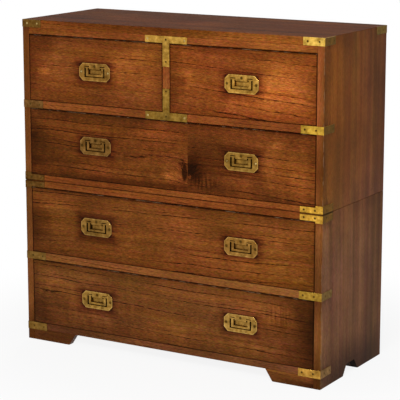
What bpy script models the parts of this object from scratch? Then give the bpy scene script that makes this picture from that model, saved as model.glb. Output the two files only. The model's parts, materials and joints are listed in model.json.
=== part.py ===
"""A brass-bound campaign chest of drawers: an upper section that stacks on a lower one.

Metres, +Z up. The front faces -Y, the floor is z = 0 and the origin is under the middle of the chest.
"""

from math import cos, pi, sin

import bmesh
import bpy
from mathutils import Matrix, Vector

# Whole chest; its height follows from the feet, the boards and the drawer openings
WIDTH = 1.040
DEPTH = 0.410
GAP = 0.0003  # between pieces that are glued, seated or screwed together
EDGE_EASE = 0.0007  # chamfer on the arrises of the boards
ROUND_SIDES = 16  # facets of a peg, a knuckle or a pin
SMOOTH_ANGLE = 0.6  # radians, below which the facets of a round piece are shaded as one

# Boards of the case
SIDE_THICK = 0.0225
TOP_THICK = 0.0235
TOP_RAIL_HEIGHT = 0.0205
TOP_RAIL_DEPTH = 0.050
PARTITION_THICK = 0.0233
UPPER_DIVIDER_THICK = 0.0235
UPPER_BOTTOM_THICK = 0.0195
LOWER_TOP_THICK = 0.0200
LOWER_DIVIDER_THICK = 0.0235
BASE_THICK = 0.0205
BACK_THICK = 0.010
BACK_INSET = 0.002

# Heights of the drawer openings, from the top down
SHORT_OPENING = 0.2060
LONG_1_OPENING = 0.2099
LONG_2_OPENING = 0.2095
LONG_3_OPENING = 0.2070

# Feet
FOOT_HEIGHT = 0.036
FRONT_FOOT_LENGTH = 0.1575  # along the front, at the floor
FRONT_FOOT_THICK = 0.020
SIDE_FRONT_FOOT = 0.150  # along the side, at the floor
SIDE_REAR_FOOT = 0.160
FOOT_SPLAY = 0.0235  # how far each foot's edge leans over its height
ARCH_HEIGHT = 0.033
TOE_RADIUS = 0.004
REAR_BLOCK_WIDTH = 0.060

# Pegs that keep the upper section in place
PEG_RADIUS = 0.006
PEG_HEIGHT = 0.008
PEG_CLEARANCE = 0.0005
PEG_FROM_SIDE = 0.060
PEG_FROM_FACE = 0.055
PEG_HEAD_CLEARANCE = 0.0015

# Brass straps
STRAP_THICK = 0.0020
STRAP_PROUD = 0.0008
STRAP_EASE = 0.0003
STRAP_WIDTH = 0.0240  # on the stiles and sides, where it is not the rail's own height
STRAP_FRONT_LEG = 0.0725
TOP_STRAP_FRONT_LEG = 0.0680
STRAP_SIDE_LEG = 0.0660
REAR_STRAP_SIDE_LEG = 0.0700
STRAP_SPLIT_INSET = 0.0012  # each side of the joint between the sections
T_CROSSBAR_LENGTH = 0.1450
T_STEM_UPPER = 0.0700  # stem below the top rail
T_STEM_LOWER = 0.0710  # stem above the divider

# Drawers
DRAWER_FRONT_THICK = 0.020
DRAWER_LAP = 0.006  # wood in front of the side boards' ends
DRAWER_SIDE_THICK = 0.010
DRAWER_BACK_THICK = 0.010
DRAWER_BOTTOM_THICK = 0.007
DRAWER_BOTTOM_LIFT = 0.008
DRAWER_SIDE_DROP = 0.012  # the box's sides end this far below the front's top
DRAWER_SIDE_CLEARANCE = 0.0010
DRAWER_TOP_CLEARANCE = 0.0020
DRAWER_BACK_CLEARANCE = 0.012
DRAWER_SETBACK = 0.0005
LONG_1_HANDLE_LIFT = 0.004  # its handles sit a little above the middle

# Handles: a sunk plate with a tongue, and the bail that hangs beside the tongue
PLATE_WIDTH = 0.1115
PLATE_HEIGHT = 0.0540
PLATE_CHAMFER = 0.0130
PLATE_THICK = 0.0020
PLATE_PROUD = 0.0005
RECESS_WIDTH = 0.0730
RECESS_HEIGHT = 0.0340
RECESS_FROM_TOP = 0.0090
RECESS_DEPTH = 0.0075
PAN_WALL = 0.0015
PAN_ROOT = 0.0005  # behind the drawer's face, inside the plate's thickness, where the pan starts
TONGUE_WIDTH = 0.0390
TONGUE_DROP = 0.0095
BAIL_WIDTH = 0.0630
BAIL_LEG = 0.0080
BAIL_BAR = 0.0060
BAIL_DROP = 0.0270
BAIL_THICK = 0.0036
BAIL_CORNER = 0.0020
KNUCKLE_RADIUS = 0.0020
KNUCKLE_TOP_CLEARANCE = 0.0022
KNUCKLE_SET_IN = 0.0002  # behind the plate's face
PIN_RADIUS = 0.0011
PIN_LENGTH = 0.0040

# Levels and planes that follow from the sizes above
SIDE_X = WIDTH / 2
INNER_X = SIDE_X - SIDE_THICK
BOARD_X = INNER_X - GAP
FRONT_Y = -DEPTH / 2
BACK_Y = DEPTH / 2
BACK_PANEL_Y = BACK_Y - BACK_INSET - BACK_THICK
INLAY = STRAP_THICK - STRAP_PROUD
BASE_TOP = FOOT_HEIGHT + BASE_THICK
LOWER_DIVIDER_BOTTOM = BASE_TOP + LONG_3_OPENING
LOWER_DIVIDER_TOP = LOWER_DIVIDER_BOTTOM + LOWER_DIVIDER_THICK
LOWER_TOP_UNDERSIDE = LOWER_DIVIDER_TOP + LONG_2_OPENING
SPLIT_HEIGHT = LOWER_TOP_UNDERSIDE + LOWER_TOP_THICK
UPPER_BASE = SPLIT_HEIGHT + GAP
UPPER_BOTTOM_TOP = UPPER_BASE + UPPER_BOTTOM_THICK
UPPER_DIVIDER_BOTTOM = UPPER_BOTTOM_TOP + LONG_1_OPENING
UPPER_DIVIDER_TOP = UPPER_DIVIDER_BOTTOM + UPPER_DIVIDER_THICK
TOP_RAIL_BOTTOM = UPPER_DIVIDER_TOP + SHORT_OPENING
TOP_RAIL_TOP = TOP_RAIL_BOTTOM + TOP_RAIL_HEIGHT
TOP_UNDERSIDE = TOP_RAIL_TOP + GAP
HEIGHT = TOP_UNDERSIDE + TOP_THICK
PARTITION_X = PARTITION_THICK / 2
SHORT_MIDDLE_X = (INNER_X + PARTITION_X) / 2
MITRE_GAP = GAP * 2**0.5  # down the side, so that the joint is open by GAP across it
PAN_DEPTH = RECESS_DEPTH + PAN_WALL
PIVOT_Y = KNUCKLE_SET_IN + KNUCKLE_RADIUS - PLATE_PROUD
RECESS_TOP = PLATE_HEIGHT / 2 - RECESS_FROM_TOP
PIVOT_Z = RECESS_TOP - KNUCKLE_TOP_CLEARANCE - KNUCKLE_RADIUS

# Colour, roughness and metallic value of each kind of material
FINISHES = {
    "case_wood": ((0.235, 0.085, 0.030, 1.0), 0.38, 0.0),
    "front_wood": ((0.260, 0.095, 0.028, 1.0), 0.36, 0.0),
    "lining_wood": ((0.420, 0.245, 0.120, 1.0), 0.60, 0.0),
    "brass": ((0.560, 0.400, 0.130, 1.0), 0.32, 1.0),
}


def clear_scene():
    for obj in list(bpy.data.objects):
        bpy.data.objects.remove(obj, do_unlink=True)


def object_from(name, bm, middle=(0.0, 0.0, 0.0)):
    """Turns a bmesh built round its own middle into an object placed at that middle."""
    mesh = bpy.data.meshes.new(name)
    bm.to_mesh(mesh)
    bm.free()
    obj = bpy.data.objects.new(name, mesh)
    obj.location = middle
    bpy.context.scene.collection.objects.link(obj)
    return obj


def ease_edges(bm, width):
    bmesh.ops.recalc_face_normals(bm, faces=bm.faces)
    if width:
        bmesh.ops.bevel(bm, geom=bm.edges[:], offset=width, segments=1, profile=0.5, affect="EDGES")


def box(name, x, y, z, ease=0.0):
    """A block between two x, two y and two z values, with its arrises eased."""
    low = Vector((x[0], y[0], z[0]))
    high = Vector((x[1], y[1], z[1]))
    bm = bmesh.new()
    bmesh.ops.create_cube(bm, size=1.0)
    bmesh.ops.scale(bm, vec=high - low, verts=bm.verts)
    ease_edges(bm, ease)
    return object_from(name, bm, (low + high) / 2)


def prism(name, outline, along, low, high, ease=0.0):
    """An outline in the two other axes, in X, Y, Z order, carried along one axis from low to high."""
    order = {"X": (2, 0, 1), "Y": (0, 2, 1), "Z": (0, 1, 2)}[along]
    firsts = [point[0] for point in outline]
    seconds = [point[1] for point in outline]
    middle = (min(firsts) + max(firsts), min(seconds) + max(seconds), low + high)
    middle = Vector([middle[i] / 2 for i in order])
    bm = bmesh.new()
    ends = []
    for level in (low, high):
        places = [(a, b, level) for a, b in outline]
        ends.append([bm.verts.new(Vector([p[i] for i in order]) - middle) for p in places])
    bm.faces.new(ends[0])
    bm.faces.new(ends[1])
    for i in range(len(outline)):
        j = (i + 1) % len(outline)
        bm.faces.new((ends[0][i], ends[0][j], ends[1][j], ends[1][i]))
    ease_edges(bm, ease)
    return object_from(name, bm, middle)


def rod(name, radius, along, low, high, across=(0.0, 0.0)):
    """A round rod along X or Z, at a place in the two other axes."""
    bm = bmesh.new()
    bmesh.ops.create_cone(
        bm, cap_ends=True, segments=ROUND_SIDES, radius1=radius, radius2=radius, depth=high - low
    )
    middle = (low + high) / 2
    if along == "X":
        bmesh.ops.rotate(bm, cent=(0, 0, 0), matrix=Matrix.Rotation(pi / 2, 3, "Y"), verts=bm.verts)
        return object_from(name, bm, (middle, across[0], across[1]))
    return object_from(name, bm, (across[0], across[1], middle))


def rounded(outline, index, radius, steps=3):
    """The outline with one corner turned into an arc."""
    corner = Vector(outline[index])
    before = (Vector(outline[index - 1]) - corner).normalized()
    after = (Vector(outline[(index + 1) % len(outline)]) - corner).normalized()
    half = before.angle(after) / 2
    reach = radius * cos(half) / sin(half)
    centre = corner + (before + after).normalized() * radius / sin(half)
    start = corner + before * reach - centre
    finish = corner + after * reach - centre
    turn = start.angle_signed(finish)
    arc = []
    for step in range(steps + 1):
        angle = -turn * step / steps
        x = start.x * cos(angle) - start.y * sin(angle)
        y = start.x * sin(angle) + start.y * cos(angle)
        arc.append((centre.x + x, centre.y + y))
    return outline[:index] + arc + outline[index + 1 :]


def combine(target, tool, operation):
    """Cuts target with tool, or joins the two, and removes the tool."""
    modifier = target.modifiers.new(operation, "BOOLEAN")
    modifier.operation = operation
    modifier.solver = "EXACT"
    modifier.object = tool
    graph = bpy.context.evaluated_depsgraph_get()
    made = bpy.data.meshes.new_from_object(target.evaluated_get(graph))
    made.name = target.name
    target.modifiers.clear()
    target.data = made
    bpy.data.objects.remove(tool, do_unlink=True)
    return target


def cut(target, tool):
    return combine(target, tool, "DIFFERENCE")


def join(target, tool):
    return combine(target, tool, "UNION")


def finish(obj, kind):
    """Gives the object a material of its own."""
    colour, roughness, metallic = FINISHES[kind]
    material = bpy.data.materials.new(f"{obj.name}_{kind}")
    material.use_nodes = True
    shader = material.node_tree.nodes["Principled BSDF"]
    shader.inputs["Base Color"].default_value = colour
    shader.inputs["Roughness"].default_value = roughness
    shader.inputs["Metallic"].default_value = metallic
    obj.data.materials.clear()
    obj.data.materials.append(material)
    return obj


def body(name, place, parent=None):
    """An empty on a joint's axis, which carries the pieces that move together."""
    empty = bpy.data.objects.new(name, None)
    empty.empty_display_size = 0.05
    empty.location = place
    bpy.context.scene.collection.objects.link(empty)
    if parent:
        attach(empty, parent)
    return empty


def attach(obj, parent):
    """Parents the object and leaves it where it is."""
    bpy.context.view_layer.update()
    obj.parent = parent
    obj.matrix_parent_inverse = parent.matrix_world.inverted()


# Where the straps are: low and high edge on the stile and the side, and the rail's own edges
STRAP_LEVELS = {
    "strap_top": (TOP_UNDERSIDE, HEIGHT, TOP_UNDERSIDE, HEIGHT),
    "strap_upper_rail": (
        UPPER_DIVIDER_BOTTOM,
        UPPER_DIVIDER_TOP,
        UPPER_DIVIDER_BOTTOM,
        UPPER_DIVIDER_TOP,
    ),
    "strap_upper_base": (
        SPLIT_HEIGHT + STRAP_SPLIT_INSET,
        SPLIT_HEIGHT + STRAP_SPLIT_INSET + STRAP_WIDTH,
        SPLIT_HEIGHT + STRAP_SPLIT_INSET,
        UPPER_BOTTOM_TOP,
    ),
    "strap_lower_top": (
        SPLIT_HEIGHT - STRAP_SPLIT_INSET - STRAP_WIDTH,
        SPLIT_HEIGHT - STRAP_SPLIT_INSET,
        LOWER_TOP_UNDERSIDE,
        SPLIT_HEIGHT - STRAP_SPLIT_INSET,
    ),
    "strap_lower_rail": (
        LOWER_DIVIDER_BOTTOM,
        LOWER_DIVIDER_TOP,
        LOWER_DIVIDER_BOTTOM,
        LOWER_DIVIDER_TOP,
    ),
    "strap_lower_base": (BASE_TOP - STRAP_WIDTH, BASE_TOP, BASE_TOP - STRAP_WIDTH, BASE_TOP),
}
UPPER_STRAPS = ("strap_top", "strap_upper_rail", "strap_upper_base")
HANDS = {"left": -1, "right": 1}


def corner_outline(hand, face, front_leg, side_leg, grow, outer):
    """The plan of a strap round a corner: grown by grow, and carried out of the wood by outer."""
    far_x = SIDE_X + STRAP_PROUD + outer
    far_y = DEPTH / 2 + STRAP_PROUD + outer
    near_x = SIDE_X - INLAY - grow
    near_y = DEPTH / 2 - INLAY - grow
    end_x = SIDE_X - front_leg - grow
    end_y = DEPTH / 2 - side_leg - grow
    points = [
        (end_x, far_y),
        (far_x, far_y),
        (far_x, end_y),
        (near_x, end_y),
        (near_x, near_y),
        (end_x, near_y),
    ]
    return [(hand * x, face * y) for x, y in points]


def front_leg_of(level):
    return TOP_STRAP_FRONT_LEG if level == "strap_top" else STRAP_FRONT_LEG


def strap_seat(level, hand):
    """The cutter for the recess that a front corner strap lies in."""
    low, high = STRAP_LEVELS[level][:2]
    outline = corner_outline(hand, -1, front_leg_of(level), STRAP_SIDE_LEG, GAP, STRAP_THICK)
    over = STRAP_THICK if level == "strap_top" else GAP
    return prism("seat", outline, "Z", low - GAP, high + over)


def rear_strap_seat(hand):
    outline = corner_outline(hand, 1, TOP_STRAP_FRONT_LEG, REAR_STRAP_SIDE_LEG, GAP, STRAP_THICK)
    return prism("seat", outline, "Z", TOP_UNDERSIDE - GAP, HEIGHT + STRAP_THICK)


def corner_strap(name, level, hand):
    """A strap round a front corner. Beside a thinner rail it steps down to the rail's height."""
    low, high, rail_low, rail_high = STRAP_LEVELS[level]
    front_leg = front_leg_of(level)
    outline = corner_outline(hand, -1, front_leg, STRAP_SIDE_LEG, 0.0, 0.0)
    strap = prism(name, outline, "Z", low, high, STRAP_EASE)
    for step_low, step_high in ((low, rail_low), (rail_high, high)):
        if step_high - step_low > GAP:
            x = sorted((hand * (SIDE_X - front_leg - STRAP_THICK), hand * INNER_X))
            y = (FRONT_Y - STRAP_THICK, FRONT_Y + STRAP_THICK)
            below = STRAP_THICK if step_low == low else 0.0
            above = STRAP_THICK if step_high == high else 0.0
            cut(strap, box("step", x, y, (step_low - below, step_high + above)))
    return finish(strap, "brass")


def rear_strap(name, hand):
    outline = corner_outline(hand, 1, TOP_STRAP_FRONT_LEG, REAR_STRAP_SIDE_LEG, 0.0, 0.0)
    return finish(prism(name, outline, "Z", TOP_UNDERSIDE, HEIGHT, STRAP_EASE), "brass")


def t_outline(bar_low, bar_high, stem_end, grow):
    """A T on its side view: a crossbar on a rail and a stem on the partition, up or down to stem_end."""
    arm = T_CROSSBAR_LENGTH / 2 + grow
    stem = PARTITION_X + grow
    down = stem_end < bar_low
    near, far = (bar_low - grow, bar_high + grow) if down else (bar_high + grow, bar_low - grow)
    tip = stem_end - grow if down else stem_end + grow
    right = [(arm, far), (arm, near), (stem, near), (stem, tip)]
    return right + [(-x, z) for x, z in reversed(right)]


T_STRAPS = {
    "t_strap_upper": (TOP_RAIL_BOTTOM, TOP_RAIL_TOP, TOP_RAIL_BOTTOM - T_STEM_UPPER),
    "t_strap_lower": (UPPER_DIVIDER_BOTTOM, UPPER_DIVIDER_TOP, UPPER_DIVIDER_TOP + T_STEM_LOWER),
}


def t_strap(name):
    outline = t_outline(*T_STRAPS[name], 0.0)
    return finish(
        prism(name, outline, "Y", FRONT_Y - STRAP_PROUD, FRONT_Y + INLAY, STRAP_EASE), "brass"
    )


def t_seat(name):
    outline = t_outline(*T_STRAPS[name], GAP)
    return prism("seat", outline, "Y", FRONT_Y - STRAP_THICK, FRONT_Y + INLAY + GAP)


def both_seats(board, *levels):
    """Cuts the strap recesses of both hands into a board that spans the chest."""
    for level in levels:
        for hand in HANDS.values():
            cut(board, strap_seat(level, hand))
    return board


def upper_side(name, hand):
    """A side board whose top end is mitred to the top board."""
    outline = [
        (hand * SIDE_X, UPPER_BASE),
        (hand * SIDE_X, HEIGHT - MITRE_GAP),
        (hand * INNER_X, TOP_UNDERSIDE - MITRE_GAP),
        (hand * INNER_X, UPPER_BASE),
    ]
    side = prism(name, outline, "Y", FRONT_Y, BACK_Y, EDGE_EASE)
    for level in UPPER_STRAPS:
        cut(side, strap_seat(level, hand))
    cut(side, rear_strap_seat(hand))
    return finish(side, "case_wood")


def lower_side(name, hand):
    """A side board that runs to the floor, with an arch between its two feet."""
    front_toe = FRONT_Y + SIDE_FRONT_FOOT
    rear_toe = BACK_Y - SIDE_REAR_FOOT
    outline = [
        (FRONT_Y, 0.0),
        (front_toe, 0.0),
        (front_toe + FOOT_SPLAY, ARCH_HEIGHT),
        (rear_toe - FOOT_SPLAY, ARCH_HEIGHT),
        (rear_toe, 0.0),
        (BACK_Y, 0.0),
        (BACK_Y, SPLIT_HEIGHT),
        (FRONT_Y, SPLIT_HEIGHT),
    ]
    x = sorted((hand * SIDE_X, hand * INNER_X))
    side = prism(name, outline, "X", x[0], x[1], EDGE_EASE)
    for level in STRAP_LEVELS:
        if level not in UPPER_STRAPS:
            cut(side, strap_seat(level, hand))
    return finish(side, "case_wood")


def top_board():
    outline = [
        (-SIDE_X, HEIGHT),
        (SIDE_X, HEIGHT),
        (INNER_X, TOP_UNDERSIDE),
        (-INNER_X, TOP_UNDERSIDE),
    ]
    board = prism("upper_top_board", outline, "Y", FRONT_Y, BACK_Y, EDGE_EASE)
    both_seats(board, "strap_top")
    for hand in HANDS.values():
        cut(board, rear_strap_seat(hand))
    return finish(board, "case_wood")


def shelf(name, low, high, back=BACK_PANEL_Y - GAP):
    """A full-depth board between the sides; its front edge is the rail that shows."""
    return box(name, (-BOARD_X, BOARD_X), (FRONT_Y, back), (low, high), EDGE_EASE)


def peg_places():
    x = INNER_X - PEG_FROM_SIDE
    y = DEPTH / 2 - PEG_FROM_FACE
    return [(x * a, y * b) for a in (-1, 1) for b in (-1, 1)]


def back_panel(name, low, high):
    y = (BACK_PANEL_Y, BACK_Y - BACK_INSET)
    return finish(box(name, (-BOARD_X, BOARD_X), y, (low, high), EDGE_EASE), "case_wood")


def upper_case():
    """The boards of the upper section."""
    pieces = [upper_side(f"upper_side_{word}", hand) for word, hand in HANDS.items()]
    pieces.append(top_board())

    rail_y = (FRONT_Y, FRONT_Y + TOP_RAIL_DEPTH)
    rail = box(
        "upper_top_rail", (-BOARD_X, BOARD_X), rail_y, (TOP_RAIL_BOTTOM, TOP_RAIL_TOP), EDGE_EASE
    )
    cut(rail, t_seat("t_strap_upper"))
    pieces.append(finish(rail, "case_wood"))

    divider = shelf("upper_divider", UPPER_DIVIDER_BOTTOM, UPPER_DIVIDER_TOP)
    both_seats(divider, "strap_upper_rail")
    cut(divider, t_seat("t_strap_lower"))
    pieces.append(finish(divider, "case_wood"))

    partition_x = (-PARTITION_X, PARTITION_X)
    partition_y = (FRONT_Y, BACK_PANEL_Y - GAP)
    partition_z = (UPPER_DIVIDER_TOP + GAP, TOP_RAIL_BOTTOM - GAP)
    partition = box("upper_partition", partition_x, partition_y, partition_z, EDGE_EASE)
    cut(partition, t_seat("t_strap_upper"))
    cut(partition, t_seat("t_strap_lower"))
    pieces.append(finish(partition, "case_wood"))

    bottom = shelf("upper_bottom_board", UPPER_BASE, UPPER_BOTTOM_TOP, BACK_Y)
    both_seats(bottom, "strap_upper_base")
    hole = PEG_RADIUS + PEG_CLEARANCE
    for place in peg_places():
        socket_top = UPPER_BASE + PEG_HEIGHT + PEG_HEAD_CLEARANCE
        cut(bottom, rod("socket", hole, "Z", UPPER_BASE - hole, socket_top, place))
    pieces.append(finish(bottom, "case_wood"))

    pieces.append(back_panel("upper_back_panel", UPPER_BOTTOM_TOP + GAP, TOP_UNDERSIDE - GAP))
    return pieces


def lower_case():
    """The boards of the lower section."""
    pieces = [lower_side(f"lower_side_{word}", hand) for word, hand in HANDS.items()]

    top = shelf("lower_top_board", LOWER_TOP_UNDERSIDE, SPLIT_HEIGHT, BACK_Y)
    both_seats(top, "strap_lower_top")
    for place in peg_places():
        join(top, rod("peg", PEG_RADIUS, "Z", SPLIT_HEIGHT - PEG_RADIUS, SPLIT_HEIGHT + PEG_HEIGHT, place))
    pieces.append(finish(top, "case_wood"))

    divider = shelf("lower_divider", LOWER_DIVIDER_BOTTOM, LOWER_DIVIDER_TOP)
    pieces.append(finish(both_seats(divider, "strap_lower_rail"), "case_wood"))

    bottom = shelf("lower_bottom_board", FOOT_HEIGHT, BASE_TOP)
    pieces.append(finish(both_seats(bottom, "strap_lower_base"), "case_wood"))

    pieces.append(back_panel("lower_back_panel", FOOT_HEIGHT, LOWER_TOP_UNDERSIDE - GAP))
    return pieces


def feet():
    """A bracket foot under each end of the front rail, and a thick block inside each rear foot."""
    pieces = []
    top = FOOT_HEIGHT - GAP
    for word, hand in HANDS.items():
        toe = SIDE_X - FRONT_FOOT_LENGTH
        outline = [(BOARD_X, 0.0), (BOARD_X, top), (toe - FOOT_SPLAY, top), (toe, 0.0)]
        outline = [(hand * x, z) for x, z in rounded(outline, 3, TOE_RADIUS)]
        foot = prism(
            f"front_foot_{word}", outline, "Y", FRONT_Y, FRONT_Y + FRONT_FOOT_THICK, EDGE_EASE
        )
        pieces.append(finish(cut(foot, strap_seat("strap_lower_base", hand)), "case_wood"))

        heel = BACK_Y - BACK_INSET
        rear_toe = BACK_Y - SIDE_REAR_FOOT
        outline = [(heel, 0.0), (heel, top), (rear_toe - FOOT_SPLAY, top), (rear_toe, 0.0)]
        x = sorted((hand * (BOARD_X - REAR_BLOCK_WIDTH), hand * BOARD_X))
        block = prism(f"rear_foot_block_{word}", outline, "X", x[0], x[1], EDGE_EASE)
        pieces.append(finish(block, "case_wood"))
    return pieces


def plate_outline(grow):
    """The plate's long octagon."""
    x = PLATE_WIDTH / 2 + grow
    z = PLATE_HEIGHT / 2 + grow
    c = PLATE_CHAMFER + grow * (2 - 2**0.5)
    quarter = [(x - c, z), (x, z - c)]
    right = quarter + [(a, -b) for a, b in reversed(quarter)]
    return right + [(-a, b) for a, b in reversed(right)]


def recess_outline():
    """The hole in the plate: a rectangle less the tongue that comes down from its top edge."""
    side = RECESS_WIDTH / 2
    tongue = TONGUE_WIDTH / 2
    low = RECESS_TOP - RECESS_HEIGHT
    tip = RECESS_TOP - TONGUE_DROP
    return [
        (-side, RECESS_TOP),
        (-tongue, RECESS_TOP),
        (-tongue, tip),
        (tongue, tip),
        (tongue, RECESS_TOP),
        (side, RECESS_TOP),
        (side, low),
        (-side, low),
    ]


def pan_box(name, grow, y_low):
    x = RECESS_WIDTH / 2 + PAN_WALL + grow
    z = (RECESS_TOP - RECESS_HEIGHT - PAN_WALL - grow, RECESS_TOP + PAN_WALL + grow)
    return box(name, (-x, x), (y_low, PAN_DEPTH + grow), z)


def plate_mesh():
    """The sunk plate about the middle of its face: y = 0 is the face of the drawer."""
    plate = prism("plate", plate_outline(0.0), "Y", -PLATE_PROUD, PLATE_THICK - PLATE_PROUD, STRAP_EASE)
    join(plate, pan_box("pan", 0.0, PAN_ROOT))
    cut(plate, prism("recess", recess_outline(), "Y", -PLATE_THICK, RECESS_DEPTH))
    hole = PIN_RADIUS + GAP
    for hand in HANDS.values():
        x = sorted((hand * (TONGUE_WIDTH / 2 - PIN_LENGTH - GAP), hand * (TONGUE_WIDTH / 2 + GAP)))
        cut(plate, rod("pin_hole", hole, "X", x[0], x[1], (PIVOT_Y, PIVOT_Z)))
    return taken_mesh(plate)


def bail_mesh():
    """The bail about its pivot: legs, bar, the knuckles at the top and the pins that enter the tongue."""
    outer = BAIL_WIDTH / 2
    inner = outer - BAIL_LEG
    outline = [
        (-outer, 0.0),
        (-inner, 0.0),
        (-inner, BAIL_BAR - BAIL_DROP),
        (inner, BAIL_BAR - BAIL_DROP),
        (inner, 0.0),
        (outer, 0.0),
        (outer, -BAIL_DROP),
        (-outer, -BAIL_DROP),
    ]
    for corner in (7, 6):
        outline = rounded(outline, corner, BAIL_CORNER)
    bail = prism("bail", outline, "Y", -BAIL_THICK / 2, BAIL_THICK / 2, STRAP_EASE)
    for hand in HANDS.values():
        x = sorted((hand * (TONGUE_WIDTH / 2 + GAP), hand * (RECESS_WIDTH / 2 - GAP)))
        join(bail, rod("knuckle", KNUCKLE_RADIUS, "X", x[0], x[1]))
        x = sorted((hand * (TONGUE_WIDTH / 2 - PIN_LENGTH), hand * inner))
        join(bail, rod("pin", PIN_RADIUS, "X", x[0], x[1]))
    return taken_mesh(bail)


def taken_mesh(obj):
    """The object's mesh with its place in it; the object is removed."""
    mesh = obj.data
    mesh.transform(Matrix.Translation(obj.location))
    bpy.data.objects.remove(obj, do_unlink=True)
    return mesh


def handle(plate_name, bail_name, place, slide, meshes):
    """A plate let into the drawer front, and a bail on its own joint."""
    plate = bpy.data.objects.new(plate_name, meshes["plate"].copy())
    bail = bpy.data.objects.new(bail_name, meshes["bail"].copy())
    for obj in (plate, bail):
        bpy.context.scene.collection.objects.link(obj)
        finish(obj, "brass")
    plate.location = place
    bail.location = (place[0], place[1] + PIVOT_Y, place[2] + PIVOT_Z)
    bail.data.shade_smooth()
    bail.data.set_sharp_from_angle(angle=SMOOTH_ANGLE)
    attach(plate, slide)
    attach(bail, slide)


def handle_pocket(front, place):
    """Cuts the plate's seat and the pan's pocket into the drawer front."""
    seat = prism("seat", plate_outline(GAP), "Y", -PLATE_THICK, PLATE_THICK - PLATE_PROUD + GAP)
    pocket = pan_box("pocket", GAP, -PLATE_THICK)
    for tool in (seat, pocket):
        tool.location += Vector(place)
        cut(front, tool)


def drawer_front(name, x, z, places):
    """A front with a rebate at each end, in which the sides of the box end."""
    y = FRONT_Y + DRAWER_SETBACK
    lap = y + DRAWER_LAP
    back = y + DRAWER_FRONT_THICK
    step = DRAWER_SIDE_THICK + GAP
    outline = [
        (x[0], y),
        (x[1], y),
        (x[1], lap),
        (x[1] - step, lap),
        (x[1] - step, back),
        (x[0] + step, back),
        (x[0] + step, lap),
        (x[0], lap),
    ]
    front = prism(name, outline, "Z", z[0], z[1], EDGE_EASE)
    for place in places:
        handle_pocket(front, place)
    return finish(front, "front_wood")


def drawer_box(name, x, z):
    """The sides and back of a drawer with its bottom let into them, open at the top."""
    start = FRONT_Y + DRAWER_SETBACK + DRAWER_LAP + GAP
    behind_front = FRONT_Y + DRAWER_SETBACK + DRAWER_FRONT_THICK + GAP
    end = BACK_PANEL_Y - DRAWER_BACK_CLEARANCE
    inner = (x[0] + DRAWER_SIDE_THICK, x[1] - DRAWER_SIDE_THICK)
    inner_end = end - DRAWER_BACK_THICK
    outline = [
        (x[0], start),
        (inner[0], start),
        (inner[0], inner_end),
        (inner[1], inner_end),
        (inner[1], start),
        (x[1], start),
        (x[1], end),
        (x[0], end),
    ]
    tray = prism(name, outline, "Z", z[0], z[1] - DRAWER_SIDE_DROP, EDGE_EASE)
    tongue = DRAWER_SIDE_THICK / 2
    floor_z = (z[0] + DRAWER_BOTTOM_LIFT, z[0] + DRAWER_BOTTOM_LIFT + DRAWER_BOTTOM_THICK)
    floor = box(
        "floor", (inner[0] - tongue, inner[1] + tongue), (behind_front, inner_end + tongue), floor_z
    )
    return finish(join(tray, floor), "lining_wood")


def drawer(name, opening_x, opening_z, handle_xs, parent, meshes, lift=0.0):
    """One drawer in its opening, on its own slide, with its handles."""
    x = (opening_x[0] + DRAWER_SIDE_CLEARANCE, opening_x[1] - DRAWER_SIDE_CLEARANCE)
    z = (opening_z[0] + GAP, opening_z[1] - DRAWER_TOP_CLEARANCE)
    face_y = FRONT_Y + DRAWER_SETBACK
    middle_z = (z[0] + z[1]) / 2 + lift
    slide = body(f"{name}_drawer", ((x[0] + x[1]) / 2, face_y, z[0]), parent)
    places = [(handle_x, face_y, middle_z) for handle_x in handle_xs]
    attach(drawer_front(f"{name}_front", x, z, places), slide)
    attach(drawer_box(f"{name}_box", x, z), slide)
    endings = ("_left", "_right") if len(places) > 1 else ("",)
    for ending, place in zip(endings, places):
        handle(f"{name}_plate{ending}", f"{name}_bail{ending}", place, slide, meshes)


def build():
    clear_scene()
    root = body("lower_section", (0.0, 0.0, 0.0))
    upper = body("upper_section", (0.0, 0.0, UPPER_BASE), root)

    for piece in lower_case() + feet():
        attach(piece, root)
    for piece in upper_case():
        attach(piece, upper)
    for level in STRAP_LEVELS:
        for word, hand in HANDS.items():
            strap = corner_strap(f"{level}_{word}", level, hand)
            attach(strap, upper if level in UPPER_STRAPS else root)
    for word, hand in HANDS.items():
        attach(rear_strap(f"strap_rear_top_{word}", hand), upper)
    for name in T_STRAPS:
        attach(t_strap(name), upper)

    meshes = {"plate": plate_mesh(), "bail": bail_mesh()}
    short_z = (UPPER_DIVIDER_TOP, TOP_RAIL_BOTTOM)
    for word, hand in HANDS.items():
        opening = sorted((hand * PARTITION_X, hand * INNER_X))
        drawer(f"short_{word}", opening, short_z, (hand * SHORT_MIDDLE_X,), upper, meshes)

    across = (-INNER_X, INNER_X)
    pair = (-SHORT_MIDDLE_X, SHORT_MIDDLE_X)
    long_1_z = (UPPER_BOTTOM_TOP, UPPER_DIVIDER_BOTTOM)
    long_2_z = (LOWER_DIVIDER_TOP, LOWER_TOP_UNDERSIDE)
    long_3_z = (BASE_TOP, LOWER_DIVIDER_BOTTOM)
    drawer("long_1", across, long_1_z, pair, upper, meshes, LONG_1_HANDLE_LIFT)
    drawer("long_2", across, long_2_z, pair, root, meshes)
    drawer("long_3", across, long_3_z, pair, root, meshes)


build()
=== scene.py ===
# %% [markdown]
# # A brass-bound campaign chest
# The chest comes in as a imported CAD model: sixty pieces that already have their real size and place.
# This script gives each of them the finish of the real thing and adds what the CAD leaves out, such as
# the screws. Everything is in metres, the floor is z = 0 and the front of the chest faces -Y.

import json
from functools import partial
from math import cos, pi, radians, sin

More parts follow.
